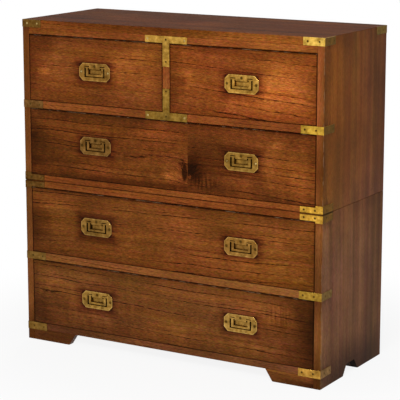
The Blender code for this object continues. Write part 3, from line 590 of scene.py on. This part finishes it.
case_names = [n for n in nodes if n.startswith(("upper_", "lower_")) or "foot" in n]
for number, name in enumerate(case_names):
    low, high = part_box(name)
    lay = "flat"
    look = dict(sheen=0.07, figure=0.8, lines=0.35, marks=CASE_MARKS.get(name, ()))
    if name in DIRT_AND_SHADE_BELOW:
        look["under"] = low.z + DIRT_AND_SHADE_BELOW[name]
    if "_side_" in name:
        lay = "side"
        look = side_look(name, low, high)
    elif "partition" in name:
        lay = "side"
    elif "back_panel" in name:
        lay = "front"
        look["boards"] = BACK_BOARD
    elif "foot" in name:
        lay = "front"
        if "block" in name:
            # Painted shade on the block's slope and on its sides in the arch
            look["weathered"] = (SHADE_UNDER_ARCH, ((1.0, 0.0, 0.0), RAW_AND_SHADED), ((-1.0, 0.0, 0.0), RAW_AND_SHADED))
    elif name == "upper_top_board":
        # Painted shade on the top
        look.update(weathered=(((0.0, 0.0, 1.0), TOP_SHADE),), stripes=0.6, sheen=0.002)
    finish = wood(f"polished_camphor_{name}", lay, name, CASE_TONES.get(name, PLAIN_TONES),
                  31.0 + number, grime=0.0, mottle=0.08, **look)
    paint(nodes[name].data, finish)
print(f"{len(case_names)} boards of the case")

# %% [markdown]
# ## Brass
# The straps and handles are cast and rolled brass, let into the wood and screwed down. The CAD has their
# shapes to the tenth of a millimetre, so each is copied, cleaned of its loose triangles, given
# countersunk holes where the photograph shows screws, and softened along its edges as years of wiping
# soften them. Modelling them again from cubes would only repeat the same sizes less exactly.

# %% Where each piece rides
body_of = {name: body for body, names in frame["record"]["behaviour"]["bodies"].items() for name in names}


def keep(piece, body):
    """Makes a finished piece part of the object."""
    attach(piece, body)


# %% Brass: the working copy of a CAD piece
def only(*pieces):
    """Selects just these pieces and makes the first one active."""
    if bpy.context.object and bpy.context.object.mode == "EDIT":
        bpy.ops.object.mode_set(mode="OBJECT")
    bpy.ops.object.select_all(action="DESELECT")
    for piece in pieces:
        piece.select_set(True)
    bpy.context.view_layer.objects.active = pieces[0]


def worked_copy(name, new_name):
    """A copy of a CAD piece with its triangles merged into whole faces."""
    piece = bpy.data.objects.new(new_name, nodes[name].data.copy())
    bpy.context.scene.collection.objects.link(piece)
    only(piece)
    bpy.ops.object.mode_set(mode="EDIT")
    bpy.ops.mesh.select_all(action="SELECT")
    bpy.ops.mesh.remove_doubles(threshold=0.000002)
    bpy.ops.mesh.dissolve_limited(angle_limit=radians(0.5))
    bpy.ops.object.mode_set(mode="OBJECT")
    return piece


def apply(piece, kind, **settings):
    """Adds a modifier, sets it and applies it."""
    modifier = piece.modifiers.new(kind.title(), kind)
    for name, value in settings.items():
        setattr(modifier, name, value)
    only(piece)
    bpy.ops.object.modifier_apply(modifier=modifier.name)


def joined(pieces):
    """Makes one piece of several."""
    only(*pieces)
    if len(pieces) > 1:
        bpy.ops.object.join()
    return bpy.context.object


# %% [markdown]
# ## Inside the drawers
# The drawer boxes were never polished: thin planed boards that have gone the colour of tea. The sides run
# front to back, the back and the bottom left to right, and the sides' tails are let into the ends of the
# front. One CAD solid stands for a whole box, so its faces get their material by the board they are on,
# and the joint is part of the finish, because its parts lie flush and never come apart.

# %% Drawer boxes
LINING_TONES = ("#7E5A30", "#C49C64", "#A67E4A")
DRAWER_SIDE_THICK = 0.010
PIN_FIRST = 0.006  # the lowest pin above the lower edge of a side
TAILS = 4
BOTTOM_BOARD = 0.125  # width of a board in the bottom of a drawer
LINING_LOOK = dict(tones=LINING_TONES, gloss=0.6, grime=0.0, figure=0.6, lines=0.22, sheen=0.1)
boxes = [n for n in nodes if n.endswith("_box")]
for number, name in enumerate(boxes):
    low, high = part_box(name)
    piece = worked_copy(name, f"{name}_boards")
    pitch = (high.z - low.z - 2 * PIN_FIRST) / TAILS
    side = wood(f"planed_sides_{name}", "run", name, seed=91.0 + number,
                pins=(low.z + PIN_FIRST, pitch / 2), **LINING_LOOK)
    across = wood(f"planed_bottom_{name}", "flat", name, seed=71.0 + number, boards=BOTTOM_BOARD,
                  **LINING_LOOK)
    paint(piece.data, side, across)
    for face in piece.data.polygons:
        beside = min(face.center.x - low.x, high.x - face.center.x) < DRAWER_SIDE_THICK + 0.001
        face.material_index = 0 if beside and abs(face.normal.y) < 0.5 else 1
    keep(piece, body_of[name])
    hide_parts(name)
print(f"{len(boxes)} drawer boxes")

# %% [markdown]
# ### Screws
# Each screw is an old countersunk wood screw with one slot, filed flush with the brass. A cylinder gets
# its slot from a Boolean and its worn rim from a bevel. It is modelled once, and every copy is turned by
# another angle, because no two were driven to the same stop.

# %% Screws
HEAD_RADIUS = 0.0033
HEAD_THICK = 0.0012
HEAD_SINK = 0.00012  # below the brass round it
SLOT_WIDTH = 0.0009
SLOT_DEPTH = 0.0007
SINK_CLEARANCE = 0.0002  # the dark ring between the head and its countersink

bpy.ops.object.select_all(action="DESELECT")
bpy.ops.mesh.primitive_cylinder_add(vertices=20, radius=HEAD_RADIUS, depth=HEAD_THICK,
                                    location=(0.0, 0.0, -HEAD_THICK / 2))
screw_head = bpy.context.object
bpy.ops.mesh.primitive_cube_add()
slot_cutter = bpy.context.object
slot_cutter.scale = (HEAD_RADIUS * 1.5, SLOT_WIDTH / 2, SLOT_DEPTH)
only(screw_head, slot_cutter)
bpy.ops.object.transform_apply(location=True, rotation=True, scale=True)
apply(screw_head, "BOOLEAN", object=slot_cutter, operation="DIFFERENCE", solver="EXACT")
bpy.data.objects.remove(slot_cutter)
apply(screw_head, "BEVEL", width=0.00018, segments=2, limit_method="ANGLE")
screw_head.name = "screw_head"
print(f"a screw head has {len(screw_head.data.polygons)} faces")

# %% Screws: their seats and their copies
GOLDEN_ANGLE = pi * (3.0 - 5.0**0.5)
# For each way that a screw can look: the turn that brings it there from looking up, and the way itself
WAYS = {"-Y": ((radians(90), 0.0, 0.0), Vector((0.0, -1.0, 0.0))),
        "+Y": ((radians(-90), 0.0, 0.0), Vector((0.0, 1.0, 0.0))),
        "-X": ((0.0, radians(-90), 0.0), Vector((-1.0, 0.0, 0.0))),
        "+X": ((0.0, radians(90), 0.0), Vector((1.0, 0.0, 0.0)))}
OVER = 0.001  # how far a cutter stands out of the brass
screw_count = 0


def countersink(piece, seats):
    """Cuts a cone into the piece for each screw: seats are (place on the face, the way it faces)."""
    wide = HEAD_RADIUS + SINK_CLEARANCE
    deep = HEAD_THICK * 1.2
    cutters = []
    for place, facing in seats:
        turn, outward = WAYS[facing]
        bpy.ops.object.select_all(action="DESELECT")
        bpy.ops.mesh.primitive_cone_add(vertices=20, radius1=wide - deep, radius2=wide + OVER,
                                        depth=deep + OVER, rotation=turn,
                                        location=Vector(place) + outward * (OVER - deep) / 2)
        cutters.append(bpy.context.object)
    cutter = joined(cutters)
    bpy.ops.object.transform_apply(location=True, rotation=True, scale=True)
    apply(piece, "BOOLEAN", object=cutter, operation="DIFFERENCE", solver="EXACT")
    bpy.data.objects.remove(cutter)


def screws(name, seats, body, material):
    """One screw in each seat, all of them one piece."""
    global screw_count
    copies = []
    for place, facing in seats:
        turn, outward = WAYS[facing]
        head = screw_head.copy()
        head.data = screw_head.data.copy()
        bpy.context.scene.collection.objects.link(head)
        head.rotation_euler = (0.0, 0.0, screw_count * GOLDEN_ANGLE)
        only(head)
        bpy.ops.object.transform_apply(location=False, rotation=True, scale=False)
        head.rotation_euler = turn
        head.location = Vector(place) - outward * HEAD_SINK
        copies.append(head)
        screw_count += 1
    piece = joined(copies)
    bpy.ops.object.transform_apply(location=True, rotation=True, scale=True)
    piece.name = name
    paint(piece.data, material)
    bpy.ops.object.shade_smooth_by_angle(angle=radians(40))
    keep(piece, body)


# %% [markdown]
# ### The finish of the brass
# Nobody has polished this brass for years. Where hands and dusters reach, it is yellow and satin. In the
# pan of a handle it is brown with old polish and painted shade, and round the screws brown with old
# polish. The bevelled edges are rubbed bright and painted lighter as a highlight, and the legs on the
# sides of the chest are as dark as the wood, by tarnish and a painted reflection. The metal's tone
# therefore follows how deep a point lies and which way it looks, over a mottled patina.

# %% Brass: the dirt and painted shade, and the bright rim with a painted highlight, of a handle's plate
PLATE_CORNER = 0.0130  # what is cut off each corner of a plate
PLATE_END_SCREW = 0.0075  # from the end of a plate
PLATE_TOP_SCREW = 0.0090  # from its top
RIM_FROM, RIM_TO = -0.0032, -0.0012  # from a plate's outline inwards
RIM_SHINE = (0.50, 0.62, 0.90)  # how much more the rim sends back: rubbed by dusters, and a painted highlight
PAN_FROM, PAN_TO = -0.2046, -0.2025  # y, from a plate's face down into its pan
PAN_CLEAN = 0.95  # the floor of the pan inside the bail, against the plate's face
PAN_DIRT_AND_SHADE = 0.25  # beside and below the bail, where old polish sits and painted shade falls in the slots
BESIDE_BAIL = (0.0225, 0.0290)  # x, from inside the bail to beside it
BELOW_BAIL = (-0.0072, -0.0125)  # z, the same
SHADOW_UNDER_TONGUE = 0.22  # a painted shadow right under the tongue, with dirt where the duster never gets
TONGUE_EDGE = (0.0042, 0.0062)  # z
ROUND_A_SCREW = 0.40  # the ring of old polish round a screw
SCREW_RING = (0.0036, 0.0056)  # its radii


def worn_and_shaded_plate(add, here, colour, x, z):
    """Old polish and painted shade in the pan of a handle, old polish round its screws, and a rim rubbed
    bright with a painted highlight. x, z is its middle.
    """
    here = add("VectorMath SUBTRACT", [here, (x, 0.0, z)])
    x, y, z = add("SeparateXYZ", [here]).outputs
    out = add("VectorMath ABSOLUTE", [here])
    out = add("SeparateXYZ", [out]).outputs
    corner = add("Math ADD", [out[0], out[2]])
    corner = add("Math SUBTRACT", [corner, sum(PLATE_HALF) - PLATE_CORNER])
    rim = add("Math MULTIPLY", [corner, cos(pi / 4)])
    for axis, half in ((0, PLATE_HALF[0]), (2, PLATE_HALF[1])):
        beyond = add("Math SUBTRACT", [out[axis], half])
        rim = add("Math MAXIMUM", [rim, beyond])
    rim = add("MapRange", [rim, RIM_FROM, RIM_TO])
    rim = add("VectorMath MULTIPLY_ADD", [rim, RIM_SHINE, (1.0, 1.0, 1.0)])
    colour = add("VectorMath MULTIPLY", [colour, rim])

    dirt_and_shade = add("MapRange", [out[0], BESIDE_BAIL[0], BESIDE_BAIL[1], PAN_CLEAN, PAN_DIRT_AND_SHADE])
    for (start, end), least in ((BELOW_BAIL, 0.4), (TONGUE_EDGE, SHADOW_UNDER_TONGUE)):
        more = add("MapRange", [z, start, end, 1.0, least])
        dirt_and_shade = add("Math MULTIPLY", [dirt_and_shade, more])
    deep = add("MapRange", [y, PAN_FROM, PAN_TO])
    dirt_and_shade = add("Mix", {0: deep, 2: 1.0, 3: dirt_and_shade})
    flatly = add("VectorMath MULTIPLY", [here, (1.0, 0.0, 1.0)])
    folded = add("VectorMath ABSOLUTE", [flatly])
    for source, seat in ((flatly, (0.0, 0.0, PLATE_HALF[1] - PLATE_TOP_SCREW)),
                         (folded, (PLATE_HALF[0] - PLATE_END_SCREW, 0.0, 0.0))):
        near = add("VectorMath DISTANCE", [source, seat])
        ring = add("MapRange", [near, SCREW_RING[0], SCREW_RING[1], ROUND_A_SCREW, 1.0])
        dirt_and_shade = add("Math MULTIPLY", [dirt_and_shade, ring])
    green = add("Math POWER", [dirt_and_shade, 1.15])
    blue = add("Math POWER", [dirt_and_shade, 1.60])
    brown = add("CombineXYZ", [dirt_and_shade, green, blue])
    return add("VectorMath MULTIPLY", [colour, brown])


# %% Brass: the finish
PATINA = 42.0  # per metre: patches of another tone, 24 mm
SPOTS = 110.0  # spots of another colour, 9 mm
WIPED = 300.0  # change of gloss, 3 mm
EDGE_FROM, EDGE_TO = 0.80, 0.97  # how squarely a face looks one way; a bevelled edge doesn't
JOINT_DIRTY, JOINT_CLEAN = 0.0010, 0.0022  # from the height where two straps meet
JOINT_TONE = 0.10  # what the dirt there leaves of the colour


def brass(name, tone, rough=0.34, side=(1.0, 1.0, 1.0), pan=None, worn=1.35, joint=None):
    """Aged brass. tone is its colour, side what its faces towards the chest's sides multiply by, for tarnish
    and a painted reflection, worn how much lighter its edges are, rubbed and with a painted
    highlight, pan the (x, z) of the middle of a handle's plate, and joint the height at which the chest
    comes apart, where two straps meet over dirt."""
    material, add = new_material(name)
    place = add("TexCoord")
    here = place.outputs["Object"]
    patina = add("TexNoise", {"Vector": here, "Scale": PATINA, "Detail": 4.0, "Roughness": 0.65})
    level = add("MapRange", [patina, 0.3, 0.7, 0.60, 1.45])
    colour = add("VectorMath MULTIPLY", [linear(tone)[:3], level])
    spots = add("TexNoise", {"Vector": here, "Scale": SPOTS, "Detail": 2.0})
    warm = add("VectorMath MULTIPLY_ADD", [spots, (1.2, 1.5, 2.2), (0.40, 0.25, -0.10)])
    colour = add("VectorMath MULTIPLY", [colour, warm])

    # Faces towards the chest's sides take their own tone: tarnish and a painted reflection
    normal = add("VectorMath ABSOLUTE", [place.outputs["Normal"]])
    x, y, z = add("SeparateXYZ", [normal]).outputs
    share = add("MapRange", [x, 0.5, 0.9])
    colour = add("Mix RGBA", {0: share, 6: colour, 7: (*side, 1.0)}, blend_type="MULTIPLY")

    # Bevelled edges are lighter: rubbed bright, and a painted highlight
    flat = add("Math MAXIMUM", [x, y])
    flat = add("Math MAXIMUM", [flat, z])
    edge = add("MapRange", [flat, EDGE_FROM, EDGE_TO, worn, 1.0])
    colour = add("VectorMath MULTIPLY", [colour, edge])

    if joint:
        height = add("SeparateXYZ", [here])
        near = add("Math SUBTRACT", [height.outputs[2], joint])
        near = add("Math ABSOLUTE", [near])
        near = add("MapRange", [near, JOINT_DIRTY, JOINT_CLEAN, JOINT_TONE, 1.0])
        colour = add("VectorMath MULTIPLY", [colour, near])
    if pan:
        colour = worn_and_shaded_plate(add, here, colour, *pan)

    rubbed = add("TexNoise", {"Vector": here, "Scale": WIPED, "Detail": 3.0})
    roughness = add("MapRange", [rubbed, 0.3, 0.7, rough - 0.06, rough + 0.10])
    shiny = add("MapRange", [flat, EDGE_FROM, EDGE_TO, 0.55, 1.0])
    roughness = add("Math MULTIPLY", [roughness, shiny])
    metal = add("BsdfPrincipled", {"Base Color": colour, "Metallic": 1.0, "Roughness": roughness,
                                   "Specular Tint": (0.92, 0.80, 0.62, 1.0)})
    add("OutputMaterial", {"Surface": metal})
    return material


dirty_screws = brass("dirty_screw_brass", "#56401A", 0.45)
rubbed_screws = brass("rubbed_screw_brass", "#A8905A", 0.38)

# %% [markdown]
# ## Straps
# A strap is rolled brass bent round a corner of the case and let in flush, with two screws in each leg. It
# ties the boards together where a knock would open them. Where the chest comes apart there are two, one
# above the other. The screws' places are measured from the corner, as on the real strap.

# %% Straps: how a piece is finished
STRAP_EDGE = 0.00025  # what wiping has taken off a strap's edges
SMOOTH_UP_TO = radians(50)


def finish_brass(name, seats, bevel, material, rubbed=()):
    """Works a copy of a CAD piece, seats its screws and puts it in that piece's place. rubbed says
    which of the screws dusters have kept bright."""
    piece = worked_copy(name, f"{name}_worked")
    body = body_of[name]
    apply(piece, "BEVEL", width=bevel, segments=2, limit_method="ANGLE", angle_limit=SMOOTH_UP_TO)
    if seats:
        countersink(piece, seats)
    only(piece)
    bpy.ops.object.shade_smooth_by_angle(angle=SMOOTH_UP_TO)
    apply(piece, "WEIGHTED_NORMAL", weight=100, keep_sharp=True)
    paint(piece.data, material)
    keep(piece, body)
    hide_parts(name)
    for kind, screw_material in (("dirty", dirty_screws), ("rubbed", rubbed_screws)):
        group = [seat for at, seat in enumerate(seats) if (at in rubbed) == (kind == "rubbed")]
        if group:
            screws(f"{name}_{kind}_screws", group, body, screw_material)


# %% Straps
FIRST_SCREW = 0.024  # from the corner
SECOND_SCREW = 0.060
SIDE_SECOND_SCREW = 0.058
TOP_FRONT_SCREWS = (0.017, 0.054)
LEG_MIDDLE = 0.0100  # of a doubled strap's legs, which are lower than the strap, from the split
half_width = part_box("strap_top_right")[1].x
half_depth = -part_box("strap_top_right")[0].y
side_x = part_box("upper_side_right")[1].x
front_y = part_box("upper_side_right")[0].y
# What the legs on the sides multiply by: tarnish and a painted reflection. Those on the right are the
# darker, because the front of these straps catches more light and dusting
TARNISH_AND_REFLECTION = {"left": (0.8, 0.8, 0.8), "right": (0.172, 0.125, 0.090), "dusty": (0.36, 0.35, 0.80)}
DUSTY_STRAPS = ("strap_lower_rail", "strap_lower_base")  # the low ones on the right
# Each strap's tone on the left and on the right: one brass, painted darker on the left, a painted reflection
STRAP_TONES = {
    "strap_top": ("#67491D", "#C79F46"), "strap_upper_rail": ("#6B4923", "#B38C31"),
    "strap_upper_base": ("#62421B", "#C39334"), "strap_lower_top": ("#5E3F1A", "#C79738"),
    "strap_lower_rail": ("#775727", "#97742A"), "strap_lower_base": ("#705223", "#AB7F35"),
    "strap_rear_top": ("#58421A", "#58421A"),
}
straps = [n for n in nodes if n.startswith("strap_")]
for name in straps:
    low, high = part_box(name)
    kind, side = name.rsplit("_", 1)
    hand = 1 if side == "right" else -1
    doubled = {"strap_upper_base": (low.z + LEG_MIDDLE, low.z),
               "strap_lower_top": (high.z - LEG_MIDDLE, high.z)}
    screw_z, joint = doubled.get(kind, ((low.z + high.z) / 2, None))
    front_steps = TOP_FRONT_SCREWS if kind == "strap_top" else (FIRST_SCREW, SECOND_SCREW)
    back = 1 if kind == "strap_rear_top" else -1
    seats = [((hand * (side_x - step), back * half_depth, screw_z), "+Y" if back > 0 else "-Y")
             for step in front_steps]
    seats += [((hand * half_width, back * (-front_y - step), screw_z), "+X" if hand > 0 else "-X")
              for step in (FIRST_SCREW, SIDE_SECOND_SCREW)]
    tarnish_and_reflection = TARNISH_AND_REFLECTION[side if hand < 0 else "dusty" if kind in DUSTY_STRAPS else "right"]
    if back > 0:
        tarnish_and_reflection = (1.0, 1.0, 1.0)
    material = brass(f"aged_brass_{name}", STRAP_TONES[kind][hand > 0], side=tarnish_and_reflection, joint=joint)
    finish_brass(name, seats, STRAP_EDGE, material, (0, 1) if name == "strap_top_left" else ())
print(f"{len(straps)} straps")

# %% T straps
T_END_SCREW = 0.0087
T_TONES = {"t_strap_upper": "#AE8438", "t_strap_lower": "#866528"}
for name, stem_screw in (("t_strap_upper", 0.015), ("t_strap_lower", 0.008)):
    low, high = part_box(name)
    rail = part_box("upper_top_rail" if name.endswith("upper") else "upper_divider")
    rail_z = (rail[0].z + rail[1].z) / 2
    stem_z = low.z + stem_screw if name.endswith("upper") else high.z - stem_screw
    places = [(low.x + T_END_SCREW, rail_z), (0.0, rail_z), (high.x - T_END_SCREW, rail_z), (0.0, stem_z)]
    seats = [((x, low.y, z), "-Y") for x, z in places]
    finish_brass(name, seats, STRAP_EDGE, brass(f"aged_brass_{name}", T_TONES[name]), (0, 2))
print(f"{len(T_TONES)} T straps")

# %% [markdown]
# ## Handles
# The handles are sunk, so that nothing stands out when the chest travels. A cast plate with a pan is let
# into the drawer's front, and a bail swings on two pins under the plate's upper lip. It moves, so it is a
# piece on a body of its own, and it is the smoothest brass here, because it is held.

# %% Handles
HANDLE_TONES = {
    "short_left": "#8A632B", "short_right": "#A87D36", "long_1_left": "#755225", "long_1_right": "#89652B",
    "long_2_left": "#7F5C29", "long_2_right": "#8C642D", "long_3_left": "#8D6A30", "long_3_right": "#987336",
}
PLATE_EDGE = 0.0006
BAIL_EDGE = 0.0009
plates = [n for n in nodes if "plate" in n]
for name in plates:
    low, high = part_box(name)
    x, z = (low.x + high.x) / 2, (low.z + high.z) / 2
    places = [(low.x + PLATE_END_SCREW, z), (high.x - PLATE_END_SCREW, z), (x, high.z - PLATE_TOP_SCREW)]
    seats = [((px, low.y, pz), "-Y") for px, pz in places]
    tone = HANDLE_TONES[name.replace("_plate", "")]
    material = brass(f"aged_cast_brass_{name}", tone, pan=(x, z), worn=1.8)
    finish_brass(name, seats, PLATE_EDGE, material,
                 (0, 1) if name in ("short_left_plate", "long_1_plate_right") else ())
bails = [n for n in nodes if "bail" in n]
for name in bails:
    tone = HANDLE_TONES[name.replace("_bail", "")]
    finish_brass(name, (), BAIL_EDGE, brass(f"handled_brass_{name}", tone, 0.28, worn=1.3))
bpy.data.objects.remove(screw_head)
print(f"{len(plates)} plates, {len(bails)} bails, {screw_count} screws in all")

# %% [markdown]
# ## The studio
# The photograph is a cut-out on white. White paper on the floor keeps the object's shadow close to it and
# goes over into the backdrop farther out. Both are white only to the camera and in what is mirrored, so
# that the lamps and a dim sky alone light the wood.

# %% Floor
SHADOW_TO, WHITE_FROM = 0.45, 1.25  # metres from the middle of the floor
SHADOW_WHITE = 0.88  # how much of the floor is plain white near the chest; its shadow is in the rest
WHITE = (1.0, 1.0, 1.0, 1.0)
bpy.ops.object.select_all(action="DESELECT")
bpy.ops.mesh.primitive_plane_add(size=60.0)
floor = bpy.context.object
floor.name = "studio_floor"
paper, add = new_material("white_studio_paper")
ray = add("LightPath")
seen = add("Math MAXIMUM", [ray.outputs["Is Glossy Ray"], ray.outputs["Is Transmission Ray"]])
diffuse = add("BsdfDiffuse", {"Color": linear("#F2F2F2")})
white = add("Emission", {"Color": WHITE, "Strength": 1.0})
place = add("TexCoord")
away = add("VectorMath LENGTH", [place.outputs["Object"]])
cut_out = add("MapRange SMOOTHSTEP", [away, SHADOW_TO, WHITE_FROM, SHADOW_WHITE, 1.0])
cut_out = add("Math MULTIPLY", [ray.outputs["Is Camera Ray"], cut_out])
share = add("Math MAXIMUM", [seen, cut_out])
mixed = add("MixShader", [share, diffuse, white])
add("OutputMaterial", {"Surface": mixed})
floor.data.materials.append(paper)
floor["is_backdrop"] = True

# %% World
SKY = 0.24  # its light on the object, against that of the white that shows
world = bpy.data.worlds.new("white_studio")
bpy.context.scene.world = world
world.use_nodes = True
world.node_tree.nodes.clear()
add = partial(add_node, world.node_tree)
ray = add("LightPath")
seen = add("Math MAXIMUM", [ray.outputs["Is Camera Ray"], ray.outputs["Is Glossy Ray"]])
seen = add("Math MAXIMUM", [seen, ray.outputs["Is Transmission Ray"]])
around = add("Background", {"Color": WHITE, "Strength": SKY})
backdrop = add("Background", {"Color": WHITE, "Strength": 1.0})
mixed = add("MixShader", [seen, around, backdrop])
add("OutputWorld", {"Surface": mixed})

# %% Lamps
def lamp(name, place, aim, size, watts):
    """A soft square lamp at a place, turned to what it lights. size is in metres."""
    data = bpy.data.lights.new(name, "AREA")
    data.size = size
    data.energy = watts
    new = bpy.data.objects.new(name, data)
    new.location = place
    new.rotation_euler = (Vector(aim) - Vector(place)).to_track_quat("-Z", "Y").to_euler()
    bpy.context.scene.collection.objects.link(new)
    return new


lamp("key", (0.85, -2.1, 1.75), (0.1, -0.2, 0.55), 1.0, 46.0)
# A real room also lights a chest from behind; this lamp does it, and does not show in the gloss
lamp("fill_behind", (-1.4, 2.3, 0.75), (0.0, 0.2, 0.60), 0.5, 22.0).visible_glossy = False

# %% Camera
CAMERA_PLACE = Vector((2.5864, -4.3631, 1.5355))
CAMERA_YAW = radians(30.711)
CAMERA_PITCH = radians(11.058)
FOCAL_PIXELS = 1675.4  # solved with the place and the turns from the corners in the photograph
PHOTO_PIXELS = 400
SHIFT_PIXELS = -24
SENSOR = 36.0
camera_data = bpy.data.cameras.new("photo_camera")
camera_data.sensor_width = SENSOR
camera_data.lens = FOCAL_PIXELS * SENSOR / PHOTO_PIXELS
camera_data.shift_y = SHIFT_PIXELS / PHOTO_PIXELS
camera = bpy.data.objects.new("photo_camera", camera_data)
camera.location = CAMERA_PLACE
ahead = Vector((-sin(CAMERA_YAW) * cos(CAMERA_PITCH), cos(CAMERA_YAW) * cos(CAMERA_PITCH),
                -sin(CAMERA_PITCH)))
camera.rotation_euler = ahead.to_track_quat("-Z", "Y").to_euler()
bpy.context.scene.collection.objects.link(camera)
bpy.context.scene.camera = camera
bpy.context.scene.view_settings.view_transform = "Standard"

# %% Sizes
low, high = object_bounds()
